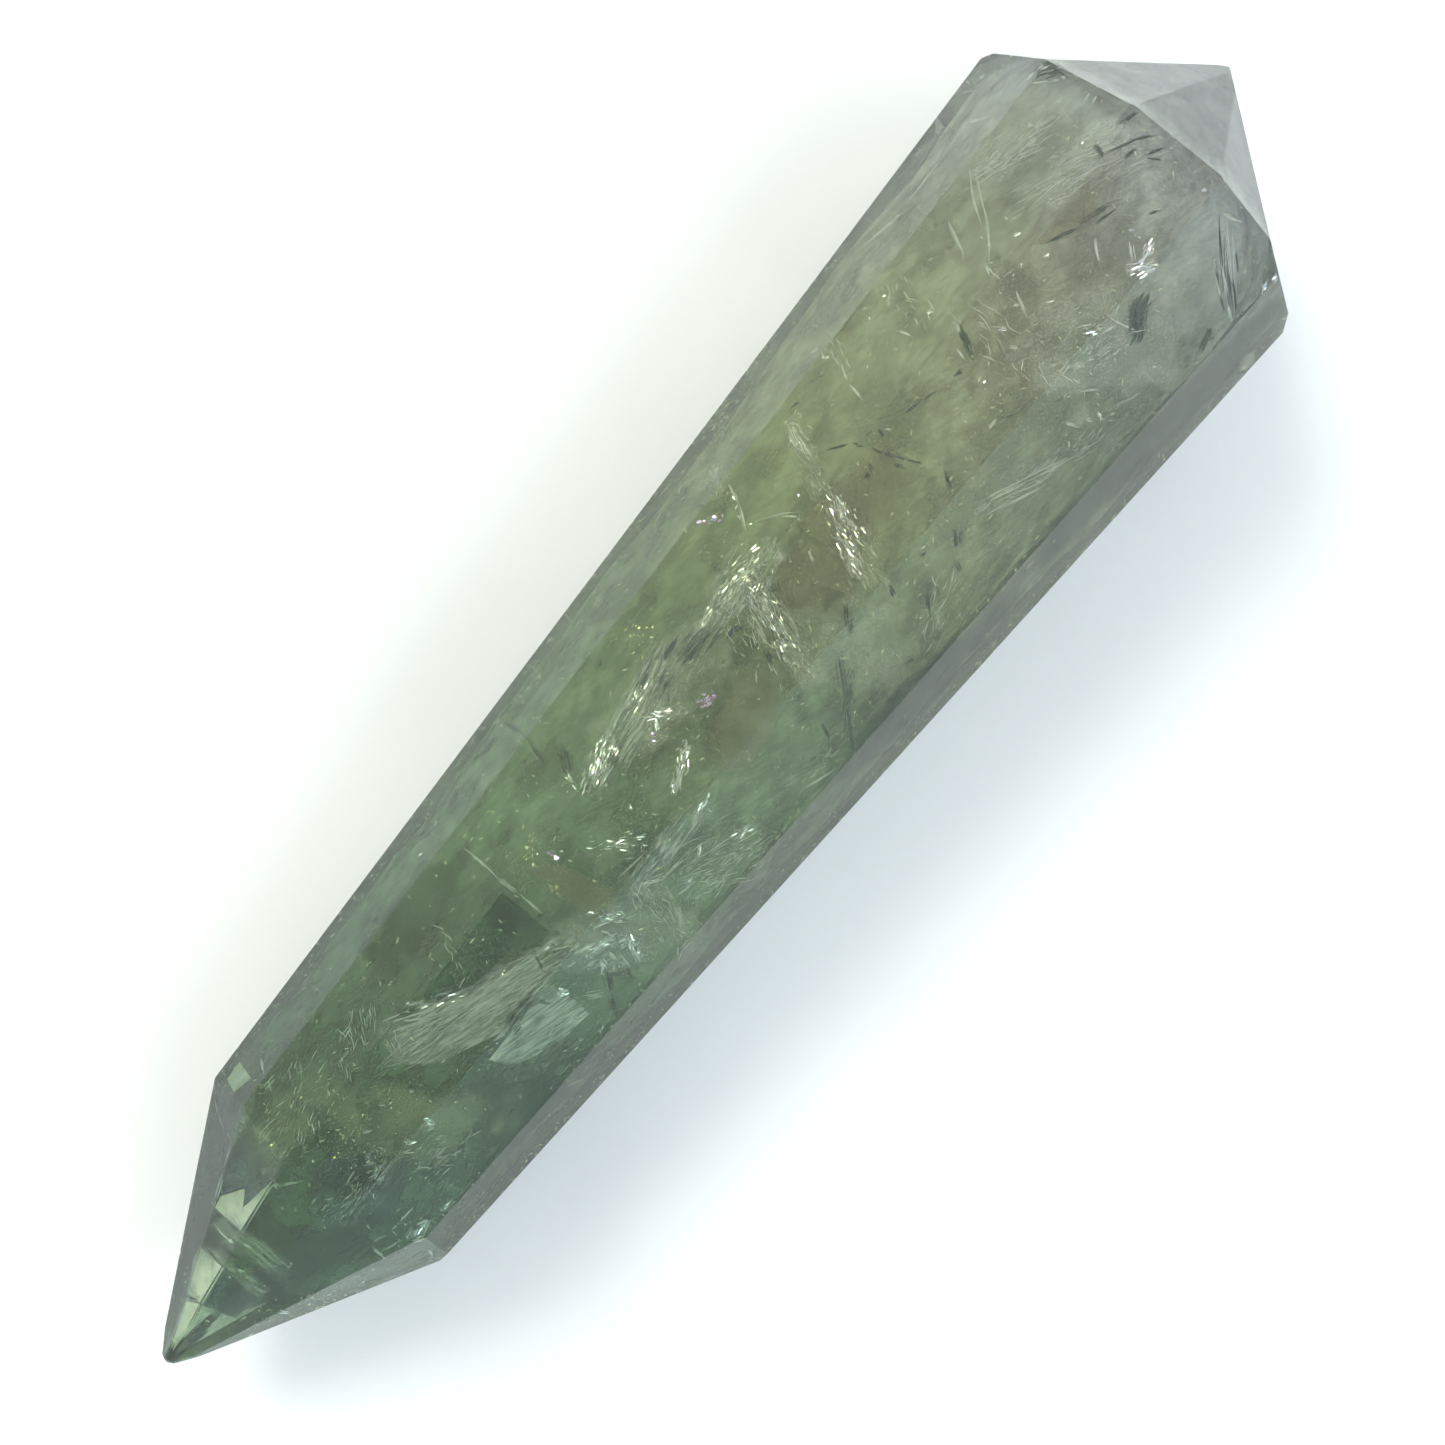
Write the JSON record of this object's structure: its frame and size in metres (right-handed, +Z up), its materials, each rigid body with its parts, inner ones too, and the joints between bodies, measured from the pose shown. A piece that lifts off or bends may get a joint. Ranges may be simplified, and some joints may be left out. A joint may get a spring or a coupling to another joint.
{
  "type": "faceted prasiolite wand",
  "caption": "Hand-cut, polished wand of pale green quartz: a tapering many-sided body with a long point and a broad crown, full of veils and glints, lying on one facet.",
  "frame": {"origin": "on the surface that the stone lies on, under the middle of the box around it", "axes": "+X along the stone towards its broad crown, +Z up out of the surface that it lies on, +Y across it"},
  "size_m": [0.0996, 0.0246, 0.0242],
  "materials": {
    "prasiolite": "polished see-through green quartz with cloudy veils, fracture films and small bright inclusions"
  },
  "bodies": {
    "root": {"wand": "prasiolite"}
  },
  "joints": []
}
